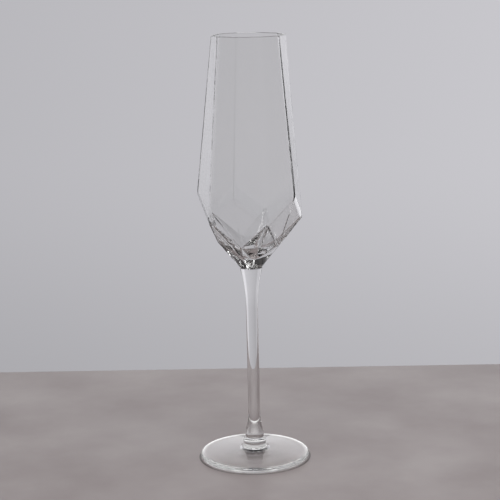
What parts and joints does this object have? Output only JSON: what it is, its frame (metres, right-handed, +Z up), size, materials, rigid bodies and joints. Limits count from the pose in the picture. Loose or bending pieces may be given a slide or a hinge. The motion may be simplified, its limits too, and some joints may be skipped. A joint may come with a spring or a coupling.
{
  "type": "champagne flute",
  "caption": "Tall clear champagne flute with a faceted, tapering bowl on a slim drawn stem and a round disc foot.",
  "frame": {"origin": "centre of the foot's resting ring, in the plane of the table", "axes": "+Z up along the stem to the rim; a low corner of the bowl points to +X and a high corner to -X"},
  "size_m": [0.0648, 0.0648, 0.25],
  "materials": {
    "clear_glass": "clear soda-lime glass, fire polished, with a very faint grey tint and slight mould waviness"
  },
  "bodies": {
    "root": {"bowl": "clear_glass", "stem": "clear_glass", "foot": "clear_glass"}
  },
  "joints": []
}
